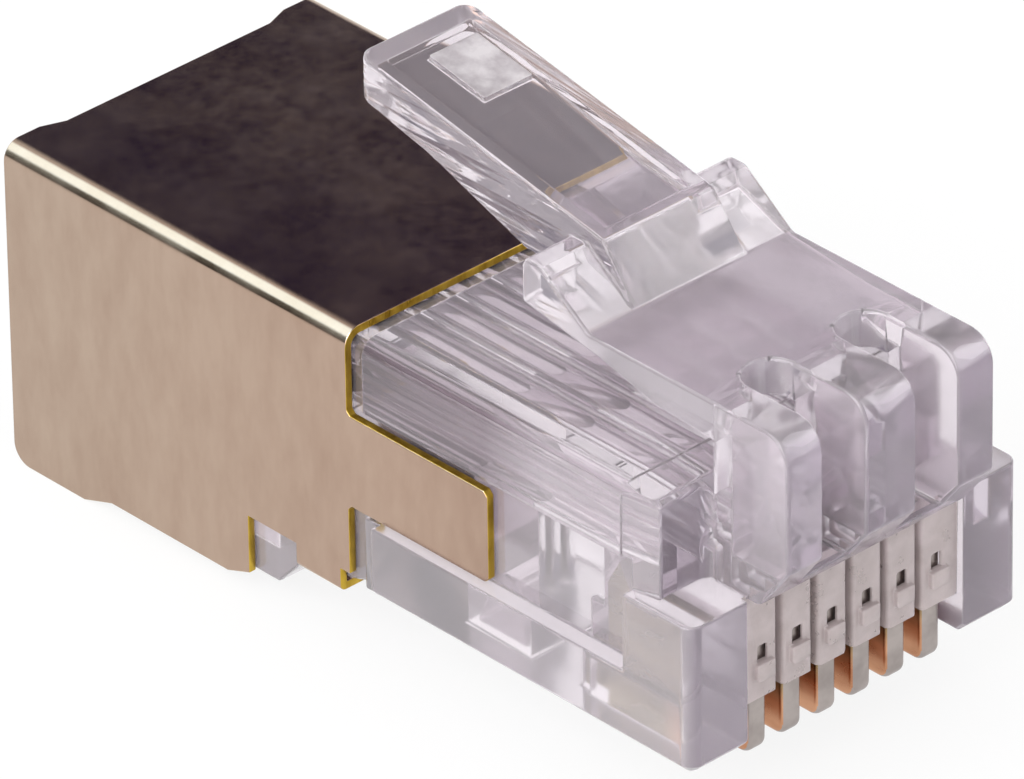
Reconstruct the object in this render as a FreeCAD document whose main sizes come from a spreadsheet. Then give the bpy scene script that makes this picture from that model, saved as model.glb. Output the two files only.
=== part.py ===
import FreeCAD
import Part
import Sketcher
import os
import re

# Six position modular plug. Millimetres, +Z up, the mating end faces -Y.
# The origin is the middle of the bottom front edge of the moulded body.
# Each row below is one size: its name, its value or formula, and what it measures.

SIZES = [
    ("body_width", "9.65", "width over the two front pillars"),
    ("body_length", "10.25", "front of the pillars to the rear of the full-size block"),
    ("body_height", "6.15", "bottom to top of the upper body"),
    ("upper_inset", "0.205", "upper body and shield inside the pillars at each side"),
    ("block_inset", "0.4", "wide lower block ends before the full-size block"),
    ("ledge", "1.75", "height of the wide lower block behind the pillars"),
    ("pillar_depth", "2.1", "length of the pillars"),
    ("shoulder", "3.65", "height of the pillars"),
    ("pillar_round", "0.35", "rounding of the upright front edges of the pillars"),
    ("front_step", "1.15", "front face of the upper body"),
    ("shoulder_set_back", "0.2", "upper body beside the noses behind its front face"),
    ("inner_round", "0.3", "inner rounding where an outer nose meets the upper body"),
    ("body_round", "0.45", "rounding of the long top edges of the upper body"),
    ("bottom_chamfer", "0.2", "chamfer along the bottom of the lower block"),
    ("lead_length", "1.15", "length of the lead-in of the upper body"),
    ("lead_side", "0.3", "lead-in at each side"),
    ("lead_top", "0.15", "lead-in at the top"),
    ("lead_lip", "0.06", "small step at the start of the lead-in"),
    ("brow_length", "0.35", "length of the steep front edge of the top"),
    ("brow_drop", "0.3", "drop of the steep front edge of the top"),
    ("lap", "0.5", "how far joined blocks run into each other and cuts run past a face"),
    ("sheet", "0.2", "thickness of the shield sheet"),
    ("fit", "0.05", "clearance between fitted pieces"),
    ("shield_gap", "0.47", "full-size block to the front edge of the shield"),
    ("shield_length", "10.88", "length of the shield without its tongues"),
    ("shield_low", "1.6", "lower edge of the shield sides below the body bottom"),
    ("lobe_drop", "0.3", "rear lobe below the lower edge of the sides"),
    ("lobe_length", "2.3", "length of the rear lobe"),
    ("lobe_slope", "0.9", "length of the slope down to the rear lobe"),
    ("lobe_round", "0.5", "rounding of the rear lower corner"),
    ("fold_radius", "0.45", "outside radius of the top folds"),
    ("hem_length", "1.71", "front edge of the shield to the side notch"),
    ("hem_set_back", "0.3", "hem behind the front edge of the shield"),
    ("hem_seat", "0.25", "moulding below the body bottom where the hems fold under"),
    ("hem_reach", "1.3", "how far a hem reaches under the body"),
    ("hem_bend", "0.17", "outside radius of the bend of a hem"),
    ("notch_length", "1.52", "length of the side notch"),
    ("notch_top", "0.1", "top of the side notch above the body bottom"),
    ("bevel_run", "0.7", "length of the bevelled corner behind the notch"),
    ("bevel_rise", "0.25", "height of the bevelled corner behind the notch"),
    ("tongue_length", "4.36", "length of a side tongue"),
    ("tongue_height", "2.27", "height of a side tongue"),
    ("tongue_clear", "0.08", "tongue above the ledge"),
    ("tongue_corner", "0.12", "corner cut of a tongue"),
    ("tongue_root", "0.1", "corner where a tongue meets the shield"),
    ("band_clear", "0.26", "side band above the tongue"),
    ("top_relief", "0.22", "rear top edge set forward between its corners"),
    ("relief_inset", "1.65", "relief inside the shield sides at its front"),
    ("relief_slope", "0.6", "slope at each end of the relief"),
    ("core_inset", "0.5", "moulding ends before the rear edge of the shield"),
    ("skirt", "1.4", "rear skirt below the body bottom"),
    ("ramp_length", "0.87", "length of the ramp down to the skirt"),
    ("cable_wall", "0.77", "side wall of the cable cavity"),
    ("cable_roof", "0.75", "roof of the cable cavity"),
    ("cable_floor", "0.55", "floor of the cable cavity"),
    ("cable_inset", "0.3", "cable cavity starts behind the ramp"),
    ("throat_front", "11.7", "front end of the tapered throat"),
    ("throat_height", "1.5", "height of the throat at its front"),
    ("throat_sill", "0.6", "floor of the throat at the cable cavity"),
    ("wire_height", "4.1", "height of the wire channels"),
    ("wire_bore", "0.9", "diameter of a wire channel"),
    ("wire_front", "1.75", "closed front end of the wire channels"),
    ("pitch", "1.02", "spacing of the contacts"),
    ("comb_margin", "0.325", "outer contacts to the pillars"),
    ("comb_face", "0.2", "front face of the comb"),
    ("comb_low", "0.95", "lower end of the comb columns"),
    ("comb_back", "0.15", "open space under the comb behind the contacts"),
    ("groove", "0.17", "groove between two columns"),
    ("groove_depth", "0.34", "depth of a groove"),
    ("nub_width", "0.52", "width of the nub on the front of a column"),
    ("nub_low", "1.43", "lower face of a nub"),
    ("nub_height", "0.42", "height of a nub"),
    ("nub_out", "0.14", "nub before the comb face"),
    ("peep_width", "0.3", "width of the opening above a nub"),
    ("peep_height", "0.38", "height of the opening above a nub"),
    ("blade", "0.55", "thickness of a contact"),
    ("blade_set_back", "0.15", "front edge of a contact behind the comb face"),
    ("blade_shelf", "0.9", "length of the front part of a contact"),
    ("blade_length", "3.35", "length of a contact without its foot"),
    ("blade_low", "0.52", "contact below the body bottom before crimping"),
    ("blade_nose", "2.3", "top of the front part of a contact"),
    ("blade_rise", "0.4", "taller part of a contact above its front part"),
    ("blade_round", "0.3", "rounding of the lower corners of a contact"),
    ("blade_edge", "0.15", "rounding of the lower and front edges of a contact"),
    ("tine_length", "0.65", "length of a tine"),
    ("tine_base", "0.72", "width of a tine at its base"),
    ("foot_length", "0.45", "length of the contact foot"),
    ("foot_low", "0.1", "lower edge of the contact foot"),
    ("foot_height", "1.1", "height of the contact foot"),
    ("travel", "0.9", "contact travel when crimped"),
    ("tower_gap", "0.14", "outer noses inside the pillars"),
    ("nose_front", "1.05", "noses in front of the pillars"),
    ("nose_round", "0.68", "rounding of the nose tops"),
    ("centre_nose", "1.48", "width of the middle nose"),
    ("side_nose", "1.04", "width of an outer nose"),
    ("chin_rise", "1.12", "height of the sloping chin under a nose"),
    ("lintel_low", "3.58", "lower face of the lintel"),
    ("lintel_front", "0.2", "lower front edge of the lintel before the pillars"),
    ("lintel_height", "0.4", "height of the lintel between the noses"),
    ("arm_gap", "0.82", "upper body to the lever at its root"),
    ("arm_thick", "0.96", "thickness of the lever at its root"),
    ("strip_run", "1.7", "length of the straight root of the lever"),
    ("strip_rise", "0.08", "rise of the lower face along the root"),
    ("ramp_start", "3.8", "root of the lever to the foot of its ramp"),
    ("knee_set_back", "0.35", "knee of the lower face before the foot of the ramp"),
    ("knee_drop", "0.4", "knee of the lower face below the stop shoulders"),
    ("ear_run", "2.0", "foot of the ramp to the rear face of the stop shoulders"),
    ("ear_gap", "0.9", "lower edge of the shoulders above the root's lower face"),
    ("ear_height", "1.1", "height of the rear face of the shoulders"),
    ("ear_crest", "0.55", "length of the flat top of the shoulders"),
    ("ear_round", "0.22", "rounding of the crest"),
    ("lever_length", "12.35", "root to free end of the lever"),
    ("tab_width", "3.25", "width of the finger tab"),
    ("tab_lap", "1.05", "finger tab starts before the rear face of the shoulders"),
    ("tab_step", "0.23", "front of the tab's top above the shoulders"),
    ("tab_rise", "1.39", "rise of the tab's top along its length"),
    ("tab_thick", "1.06", "height of the free end of the tab"),
    ("tab_corner", "0.4", "rounding of the corners of the free end"),
    ("belly_front", "1.36", "rear face of the shoulders to the end of the level underside"),
    ("belly_rise", "0.1", "rise of the level underside"),
    ("belly_rear", "4.4", "rear face of the shoulders to the end of the steep underside"),
    ("belly_climb", "1.16", "rise of the steep underside"),
    ("rim", "0.4", "rim beside the panel of the finger tab"),
    ("rim_front", "0.35", "rim before the panel"),
    ("rim_rear", "0.55", "rim behind the panel"),
    ("panel_depth", "0.2", "depth of the panel"),
    ("pad_height", "0.11", "height of the plain pad in the panel"),
    ("pad_length", "1.75", "length of the pad"),
    ("pad_width", "1.43", "width of the pad"),
    ("pad_inset", "0.3", "rear end of the panel to the pad"),
    ("pad_side", "0.12", "side of the panel to the pad"),
    ("bar_gap", "1.74", "contact feet to the strain relief bar"),
    ("bar_side", "0.25", "bar inside the comb width at each side"),
    ("bar_length", "1.58", "length of the bar"),
    ("bar_low", "0.12", "lower face of the bar above the body bottom"),
    ("bar_height", "1.33", "height of the bar"),
    ("bar_lean", "0.55", "lean of the rear face of the bar"),
    ("bar_ridge", "0.4", "width of the top ridge of the bar"),
    ("bar_dip", "0.4", "front edge of the bar below its ridge"),
    ("bar_room", "0.18", "room in the window before and behind the bar"),
    ("half", "=body_width / 2", "half width of the body"),
    ("shield_half", "=half - upper_inset", "half width of the upper body and the shield"),
    ("core_half", "=shield_half - sheet - fit", "half width inside the shield"),
    ("core_top", "=body_height - sheet - fit", "top inside the shield"),
    ("crease", "=front_step + lead_length", "where the lead-in starts"),
    ("shoulder_face", "=front_step + shoulder_set_back", "front of the upper body beside the noses"),
    ("block_rear", "=body_length - block_inset", "rear end of the wide lower block"),
    ("shield_front", "=body_length + shield_gap", "front edge of the shield"),
    ("shield_rear", "=shield_front + shield_length", "rear edge of the shield"),
    ("lobe_low", "=shield_low + lobe_drop", "lobe below the body bottom"),
    ("lobe_front", "=shield_rear - lobe_length", "front end of the lobe"),
    ("notch_front", "=shield_front + hem_length", "front end of the notch"),
    ("notch_rear", "=notch_front + notch_length", "rear end of the notch"),
    ("hem_front", "=shield_front + hem_set_back", "front end of the hems"),
    ("hem_low", "=hem_seat + fit + sheet", "hems below the body bottom"),
    ("tongue_front", "=shield_front - tongue_length", "front end of the tongues"),
    ("tongue_low", "=ledge + tongue_clear", "lower edge of the tongues"),
    ("tongue_high", "=tongue_low + tongue_height", "upper edge of the tongues"),
    ("band_high", "=tongue_high + band_clear", "upper edge of the side band"),
    ("core_rear", "=shield_rear - core_inset", "rear end of the moulding"),
    ("ramp_end", "=notch_front + ramp_length", "rear end of the ramp"),
    ("cable_half", "=core_half - cable_wall", "half width of the cable cavity"),
    ("cable_top", "=core_top - cable_roof", "top of the cable cavity"),
    ("cable_low", "=skirt - cable_floor", "cable cavity below the body bottom"),
    ("cable_front", "=ramp_end + cable_inset", "front end of the cable cavity"),
    ("slot", "=blade + 2 * fit", "width of a contact slot"),
    ("comb_half", "=pitch * 2.5 + blade / 2 + comb_margin", "half width between the pillars"),
    ("blade_front", "=comb_face + blade_set_back", "front edge of a contact"),
    ("nub_top", "=nub_low + nub_height", "upper face of a nub"),
    ("blade_step", "=blade_front + blade_shelf", "front of the taller part of a contact"),
    ("blade_rear", "=blade_front + blade_length", "rear edge of a contact"),
    ("blade_top", "=blade_nose + blade_rise", "top of a contact between its tines"),
    ("tine_top", "=blade_top + tine_length", "tips of the tines"),
    ("foot_rear", "=blade_rear + foot_length", "rear end of the contact foot"),
    ("foot_top", "=foot_low + foot_height", "upper edge of the contact foot"),
    ("half_tower", "=comb_half - tower_gap", "half width over the noses"),
    ("nose_low", "=lintel_low + chin_rise", "lower end of the nose fronts"),
    ("slot_floor", "=lintel_low + lintel_height", "floor between the noses"),
    ("chin_run", "=(nose_front - lintel_front) * lintel_height / chin_rise", "chin at the slot floor"),
    ("slot_round", "=(half_tower - side_nose - centre_nose / 2) / 2", "radius of a slot end"),
    ("slot_middle", "=half_tower - side_nose - slot_round", "middle of a slot"),
    ("root", "=front_step", "bending line of the lever"),
    ("root_low", "=body_height + arm_gap", "lower face of the lever at its root"),
    ("arm_top", "=root_low + arm_thick", "top of the lever at its root"),
    ("ramp_foot", "=root + ramp_start", "foot of the ramp"),
    ("ear_rear", "=ramp_foot + ear_run", "rear face of the shoulders"),
    ("ear_low", "=root_low + ear_gap", "lower edge of the shoulders"),
    ("ear_top", "=ear_low + ear_height", "top of the shoulders"),
    ("tab_start", "=ear_rear - tab_lap", "front end of the finger tab"),
    ("tab_start_top", "=ear_top + tab_step", "top of the finger tab at its front"),
    ("tab_rear", "=root + lever_length", "free end of the finger tab"),
    ("tab_top", "=tab_start_top + tab_rise", "top of the free end"),
    ("tab_slope", "=tab_rise / (tab_rear - tab_start)", "slope of the finger tab"),
    ("panel_half", "=tab_width / 2 - rim", "half width of the panel"),
    ("panel_front", "=tab_start + rim_front", "front end of the panel"),
    ("panel_rear", "=tab_rear - rim_rear", "rear end of the panel"),
    ("pad_rear", "=panel_rear - pad_inset", "rear end of the pad"),
    ("pad_front", "=pad_rear - pad_length", "front end of the pad"),
    ("bar_half", "=comb_half - bar_side", "half width of the bar"),
    ("bar_front", "=foot_rear + bar_gap", "front edge of the bar"),
    ("bar_rear", "=bar_front + bar_length", "rear edge of the bar"),
    ("bar_top", "=bar_low + bar_height", "top of the bar"),
]
CONTACTS = 6
PLANES = {"side": "YZ_Plane", "plan": "XY_Plane", "front": "XZ_Plane"}

doc = FreeCAD.newDocument("modular_plug")
sizes = doc.addObject("Spreadsheet::Sheet", "Sizes")
for row, (alias, value, note) in enumerate(SIZES, start=1):
    sizes.set("A%d" % row, alias)
    sizes.set("B%d" % row, value)
    sizes.set("C%d" % row, note)
    sizes.setAlias("B%d" % row, alias)
doc.recompute()

aliases = set(alias for alias, value, note in SIZES)
last_volume = {}


def bound(text):
    """The same expression with its size names pointing at the sheet."""
    def named(match):
        word = match.group(0)
        return "Sizes." + word if word in aliases else word
    return re.sub(r"[a-z_]+", named, text)


def number(text):
    """The value that an expression has now."""
    return float(sizes.evalExpression(bound(text)))


def new_body(label):
    """An empty body that carries one piece of the plug."""
    body = doc.addObject("PartDesign::Body", label)
    body.Label = label
    return body


def new_sketch(body, plane, start):
    """A sketch on an origin plane of the body, moved along the plane's normal."""
    sketch = body.newObject("Sketcher::SketchObject", "Profile")
    support = [f for f in body.Origin.OriginFeatures if f.Role == PLANES[plane]][0]
    sketch.AttachmentSupport = (support, [""])
    sketch.MapMode = "FlatFace"
    sketch.setExpression("AttachmentOffset.Base.z", bound(start))
    return sketch


def tie(sketch, kind, element, point, text):
    """Hold a point of a sketch element at a coordinate given by an expression."""
    value = number(text)
    if abs(value) < 1e-9:
        axis = -2 if kind == "DistanceX" else -1
        sketch.addConstraint(Sketcher.Constraint("PointOnObject", element, point, axis))
        return
    ends = (-1, 1, element, point) if value > 0 else (element, point, -1, 1)
    index = sketch.addConstraint(Sketcher.Constraint(kind, *ends, abs(value)))
    sketch.setExpression("Constraints[%d]" % index, bound(text if value > 0 else "-(%s)" % text))


def draw(sketch, corners):
    """Add one closed outline whose corners follow the sheet."""
    spots = [FreeCAD.Vector(number(a), number(b), 0) for a, b in corners]
    first = sketch.GeometryCount
    count = len(spots)
    for i in range(count):
        sketch.addGeometry(Part.LineSegment(spots[i], spots[(i + 1) % count]), False)
    for i in range(count):
        after = first + (i + 1) % count
        sketch.addConstraint(Sketcher.Constraint("Coincident", first + i, 2, after, 1))
    for i, (a, b) in enumerate(corners):
        tie(sketch, "DistanceX", first + i, 1, a)
        tie(sketch, "DistanceY", first + i, 1, b)


def draw_circle(sketch, across, up, radius):
    """Add one circle whose centre and radius follow the sheet."""
    centre = FreeCAD.Vector(number(across), number(up), 0)
    normal = FreeCAD.Vector(0, 0, 1)
    ring = sketch.addGeometry(Part.Circle(centre, normal, number(radius)), False)
    index = sketch.addConstraint(Sketcher.Constraint("Radius", ring, number(radius)))
    sketch.setExpression("Constraints[%d]" % index, bound(radius))
    tie(sketch, "DistanceX", ring, 3, across)
    tie(sketch, "DistanceY", ring, 3, up)


def extrude(body, sketch, length, cut):
    """Pad or pocket a sketch along its plane's normal, and see that the volume follows."""
    kind = "Pocket" if cut else "Pad"
    feature = body.newObject("PartDesign::" + kind, kind)
    feature.Profile = sketch
    feature.Reversed = cut
    feature.setExpression("Length", bound(length))
    sketch.Visibility = False
    doc.recompute()
    grown = feature.Shape.Volume - last_volume.get(body.Name, 0.0)
    if grown == 0 or (grown < 0) != cut:
        raise RuntimeError("%s %s did not change the piece as meant" % (body.Label, feature.Name))
    last_volume[body.Name] = feature.Shape.Volume


def block(body, plane, outlines, low, high, cut=False):
    """Pad or pocket outlines between two values on the third axis."""
    start = "-(%s)" % high if plane == "front" else low
    sketch = new_sketch(body, plane, start)
    for corners in outlines:
        draw(sketch, corners)
    extrude(body, sketch, "(%s) - (%s)" % (high, low), cut)


def rectangle(left, right, low, high):
    """Corners of an upright rectangle."""
    return [(left, low), (right, low), (right, high), (left, high)]


def both_sides(inside, outside):
    """The two value pairs of a feature that is mirrored left to right."""
    return [("-(%s)" % outside, "-(%s)" % inside), (inside, outside)]


def dress(body, kind, size, test):
    """Fillet or chamfer the edges of the body's last shape that pass a test."""
    base = body.Tip
    names = ["Edge%d" % (i + 1) for i, edge in enumerate(base.Shape.Edges) if test(edge.BoundBox)]
    if not names:
        raise RuntimeError("no edge found on " + body.Label)
    feature = body.newObject("PartDesign::" + kind, kind)
    feature.Base = (base, names)
    feature.setExpression("Radius" if kind == "Fillet" else "Size", bound(size))
    doc.recompute()
    last_volume[body.Name] = feature.Shape.Volume


def near(a, b):
    """Whether two lengths agree."""
    return abs(a - b) < 0.004


def flat(low, high, text):
    """Whether both ends of a range lie at the value of an expression."""
    return near(low, number(text)) and near(high, number(text))


def at_side(box, text):
    """Whether an edge runs upright or lengthwise at a distance to the left or right."""
    return near(box.XLength, 0) and near(abs(box.XMin), number(text))


def contact_place(index):
    """Where a contact lies across the plug."""
    return "pitch * %.1f" % (index - (CONTACTS - 1) / 2)


def tab_line(place, drop):
    """Height of the top of the finger tab at a place along it, less a drop."""
    return "tab_start_top + tab_slope * (%s - tab_start) - (%s)" % (place, drop)


def build_housing():
    """The clear moulding without its lever and bar."""
    body = new_body("housing")
    long_edge = number("body_length") / 2
    block(body, "side", [rectangle("front_step", "body_length", "0", "body_height")],
          "-shield_half", "shield_half")
    dress(body, "Fillet", "body_round", lambda b: b.YLength > long_edge
          and at_side(b, "shield_half") and flat(b.ZMin, b.ZMax, "body_height"))
    block(body, "side", [[("0", "0"), ("block_rear", "0"), ("block_rear", "ledge"),
                          ("pillar_depth", "ledge"), ("pillar_depth", "shoulder"),
                          ("0", "shoulder")]], "-half", "half")
    dress(body, "Fillet", "pillar_round", lambda b: at_side(b, "half") and flat(b.YMin, b.YMax, "0"))
    dress(body, "Chamfer", "bottom_chamfer", lambda b: b.YLength > long_edge
          and at_side(b, "half") and flat(b.ZMin, b.ZMax, "0"))
    block(body, "side", [[("body_length - lap", "0"), ("body_length", "0"),
                          ("hem_front - fit", "-hem_seat"), ("notch_front + fit", "-hem_seat"),
                          ("notch_front + fit", "-hem_low"), ("ramp_end", "-skirt"),
                          ("core_rear", "-skirt"), ("core_rear", "core_top"),
                          ("body_length - lap", "core_top")]], "-core_half", "core_half")
    dress(body, "Fillet", "fold_radius - sheet", lambda b: b.YLength > long_edge
          and at_side(b, "core_half") and flat(b.ZMin, b.ZMax, "core_top"))

    # Lead-in at the front of the upper body: a small step, then a taper at the sides and the top.
    for sign in ("-", ""):
        block(body, "plan", [[(sign + "(half + lap)", "crease"),
                              (sign + "(shield_half - lead_lip)", "crease"),
                              (sign + "(shield_half - lead_side)", "front_step"),
                              (sign + "(half + lap)", "front_step")]],
              "shoulder", "body_height + lap", True)
    block(body, "side", [[("crease", "body_height - lead_lip"), ("crease", "body_height + lap"),
                          ("front_step", "body_height + lap"),
                          ("front_step", "body_height - lead_top - brow_drop"),
                          ("front_step + brow_length", "body_height - lead_top")]],
          "-half - lap", "half + lap", True)
    for low, high in both_sides("half_tower", "half + lap"):
        block(body, "side", [rectangle("front_step - lap", "shoulder_face", "shoulder", "body_height + lap")],
              low, high, True)

    # A shallow band on each side, in which the tongues of the shield lie.
    for low, high in both_sides("core_half", "shield_half + fit"):
        block(body, "side", [rectangle("pillar_depth", "body_length + fit", "ledge", "band_high")],
              low, high, True)

    # The open space for the contacts, the comb face and the grooves between its columns.
    comb = ("-comb_half", "comb_half")
    block(body, "side", [rectangle("-lap", "blade_rear + comb_back", "-lap", "comb_low")], *comb, True)
    block(body, "side", [rectangle("-lap", "comb_face", "-lap", "shoulder + lap")], *comb, True)
    grooves = []
    for i in range(CONTACTS - 1):
        middle = "pitch * %d" % (i - (CONTACTS - 2) // 2)
        grooves.append(rectangle(middle + " - groove / 2", middle + " + groove / 2",
                                 "comb_low - lap", "lintel_low"))
    block(body, "front", grooves, "0", "comb_face + groove_depth", True)

    # Lintel and the three noses that carry the lever.
    block(body, "side", [[("front_step + lap", "lintel_low"), ("-lintel_front", "lintel_low"),
                          ("-lintel_front - chin_run", "slot_floor"),
                          ("front_step + lap", "slot_floor")]], "-half_tower", "half_tower")
    nose = [("front_step + lap", "lintel_low"), ("-lintel_front", "lintel_low"),
            ("-nose_front", "nose_low"), ("-nose_front", "arm_top"), ("root", "arm_top"),
            ("root", "body_height - lap"), ("front_step + lap", "body_height - lap")]
    block(body, "side", [nose], "-centre_nose / 2", "centre_nose / 2")
    for low, high in both_sides("half_tower - side_nose", "half_tower"):
        block(body, "side", [nose], low, high)
    dress(body, "Fillet", "nose_round", lambda b: flat(b.YMin, b.YMax, "-nose_front")
          and flat(b.ZMin, b.ZMax, "arm_top"))
    dress(body, "Fillet", "inner_round", lambda b: at_side(b, "half_tower")
          and flat(b.YMin, b.YMax, "shoulder_face"))

    # Cable cavity, tapered throat and the six wire channels.
    block(body, "side", [rectangle("cable_front", "core_rear + lap", "-cable_low", "cable_top")],
          "-cable_half", "cable_half", True)
    block(body, "side", [[("cable_front + fit", "throat_sill"), ("cable_front + fit", "cable_top"),
                          ("throat_front", "wire_height + throat_height / 2"),
                          ("throat_front", "wire_height - throat_height / 2")]], *comb, True)
    channels = new_sketch(body, "front", "-(throat_front + lap)")
    for i in range(CONTACTS):
        draw_circle(channels, contact_place(i), "wire_height", "wire_bore / 2")
    extrude(body, channels, "throat_front + lap - wire_front", True)

    # Slots in which the contacts slide: low at the front, tall in the middle, low at the foot.
    steps = [("blade_front - fit", "blade_step", "blade_nose"),
             ("blade_step - fit", "blade_rear + fit", "tine_top"),
             ("blade_rear", "foot_rear + fit", "foot_top")]
    for front, rear, top in steps:
        strips = []
        for i in range(CONTACTS):
            middle = contact_place(i)
            strips.append(rectangle(middle + " - slot / 2", middle + " + slot / 2",
                                    "-lap", top + " + travel + fit"))
        block(body, "front", strips, front, rear, True)

    # A nub on the front of each column and a small opening above it.
    nubs = []
    peeps = []
    for i in range(CONTACTS):
        middle = contact_place(i)
        nubs.append(rectangle(middle + " - nub_width / 2", middle + " + nub_width / 2", "nub_low", "nub_top"))
        peeps.append(rectangle(middle + " - peep_width / 2", middle + " + peep_width / 2",
                               "nub_top", "nub_top + peep_height"))
    block(body, "front", nubs, "comb_face - nub_out", "comb_face + fit")
    block(body, "front", peeps, "0", "blade_front", True)

    # Bottom window of the strain relief bar, open to the wire channels.
    block(body, "plan", [rectangle("-bar_half - fit", "bar_half + fit",
                                   "bar_front - bar_room", "bar_rear + bar_room")],
          "-lap", "wire_height", True)
    return body


def build_lever():
    """The lever: three strips at the root, stop shoulders and the finger tab."""
    body = new_body("latch_lever")
    block(body, "side", [[("root", "root_low"), ("root + strip_run", "root_low + strip_rise"),
                          ("ramp_foot - knee_set_back", "ear_low - knee_drop"),
                          ("ear_rear", "ear_low"), ("ear_rear", "ear_top"),
                          ("ear_rear - ear_crest", "ear_top"), ("ramp_foot", "arm_top"),
                          ("root", "arm_top")]], "-half_tower", "half_tower")
    dress(body, "Fillet", "ear_round", lambda b: flat(b.ZMin, b.ZMax, "ear_top")
          and b.XLength > number("half_tower"))
    block(body, "side", [[("ramp_foot", "ear_low - knee_drop / 2"), ("ear_rear", "ear_low"),
                          ("ear_rear + belly_front", "ear_low + belly_rise"),
                          ("ear_rear + belly_rear", "ear_low + belly_climb"),
                          ("tab_rear", "tab_top - tab_thick"), ("tab_rear", "tab_top"),
                          ("tab_start", "tab_start_top"), ("ramp_foot", "arm_top")]],
          "-tab_width / 2", "tab_width / 2")
    dress(body, "Fillet", "tab_corner", lambda b: at_side(b, "tab_width / 2")
          and flat(b.YMin, b.YMax, "tab_rear"))

    # Panel sunk in the top of the tab, with a low plain pad left standing in it.
    block(body, "side", [[("panel_front", tab_line("panel_front", "panel_depth")),
                          ("panel_rear", tab_line("panel_rear", "panel_depth")),
                          ("panel_rear", tab_line("panel_rear", "-lap")),
                          ("panel_front", tab_line("panel_front", "-lap"))]],
          "-panel_half", "panel_half", True)
    block(body, "side", [[("pad_front", tab_line("pad_front", "panel_depth + fit")),
                          ("pad_rear", tab_line("pad_rear", "panel_depth + fit")),
                          ("pad_rear", tab_line("pad_rear", "panel_depth - pad_height")),
                          ("pad_front", tab_line("pad_front", "panel_depth - pad_height"))]],
          "panel_half - pad_side - pad_width", "panel_half - pad_side")

    # Rounded rear ends of the two slots between the noses.
    slots = new_sketch(body, "plan", "root_low - lap")
    for sign in ("-", ""):
        draw_circle(slots, sign + "slot_middle", "root", "slot_round")
    extrude(body, slots, "arm_thick + 2 * lap", True)
    return body


def build_shield():
    """The folded sheet over the rear, open at the bottom."""
    body = new_body("shield")
    inner = "shield_half - sheet"
    long_edge = number("shield_length") / 2
    block(body, "front", [[("-shield_half", "-lobe_low"), ("-(%s)" % inner, "-lobe_low"),
                           ("-(%s)" % inner, "body_height - sheet"), (inner, "body_height - sheet"),
                           (inner, "-lobe_low"), ("shield_half", "-lobe_low"),
                           ("shield_half", "body_height"), ("-shield_half", "body_height")]],
          "shield_front", "shield_rear")
    dress(body, "Fillet", "fold_radius", lambda b: b.YLength > long_edge
          and at_side(b, "shield_half") and flat(b.ZMin, b.ZMax, "body_height"))
    dress(body, "Fillet", "fold_radius - sheet", lambda b: b.YLength > long_edge
          and at_side(b, inner) and flat(b.ZMin, b.ZMax, "body_height - sheet"))

    # Lower edge of the sides: hem at the front, notch, straight part, rear lobe.
    block(body, "side", [[("shield_front - lap", "-lobe_low - lap"), ("lobe_front", "-lobe_low - lap"),
                          ("lobe_front", "-lobe_low"), ("lobe_front - lobe_slope", "-shield_low"),
                          ("notch_rear + bevel_run", "-shield_low"),
                          ("notch_rear", "-shield_low + bevel_rise"), ("notch_rear", "notch_top"),
                          ("notch_front", "notch_top"), ("notch_front", "-hem_low"),
                          ("hem_front", "-hem_low"), ("hem_front", "notch_top"),
                          ("shield_front - lap", "notch_top")]],
          "-shield_half - lap", "shield_half + lap", True)
    dress(body, "Fillet", "lobe_round", lambda b: near(b.XLength, number("sheet"))
          and flat(b.YMin, b.YMax, "shield_rear") and flat(b.ZMin, b.ZMax, "-lobe_low"))

    # The rear top edge lies a little forward between its corners.
    ease = "shield_half - relief_inset + relief_slope"
    block(body, "plan", [[("-shield_half + relief_inset", "shield_rear - top_relief"),
                          ("shield_half - relief_inset", "shield_rear - top_relief"),
                          (ease, "shield_rear"), (ease, "shield_rear + lap"),
                          ("-(%s)" % ease, "shield_rear + lap"), ("-(%s)" % ease, "shield_rear")]],
          "body_height - lap", "body_height + lap", True)

    # Side tongues and the hems folded under the body.
    for low, high in both_sides(inner, "shield_half"):
        block(body, "side", [[("shield_front + tongue_root", "tongue_low - tongue_root"),
                              ("shield_front", "tongue_low - tongue_root"),
                              ("shield_front - tongue_root", "tongue_low"),
                              ("tongue_front + tongue_corner", "tongue_low"),
                              ("tongue_front", "tongue_low + tongue_corner"),
                              ("tongue_front", "tongue_high - tongue_corner"),
                              ("tongue_front + tongue_corner", "tongue_high"),
                              ("shield_front - tongue_root", "tongue_high"),
                              ("shield_front", "tongue_high + tongue_root"),
                              ("shield_front + tongue_root", "tongue_high + tongue_root")]],
              low, high)
    for low, high in both_sides("shield_half - hem_reach", "shield_half"):
        block(body, "side", [rectangle("hem_front", "notch_front", "-hem_low", "-hem_low + sheet")],
              low, high)
    dress(body, "Fillet", "hem_bend", lambda b: at_side(b, "shield_half")
          and flat(b.ZMin, b.ZMax, "-hem_low"))
    return body


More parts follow.
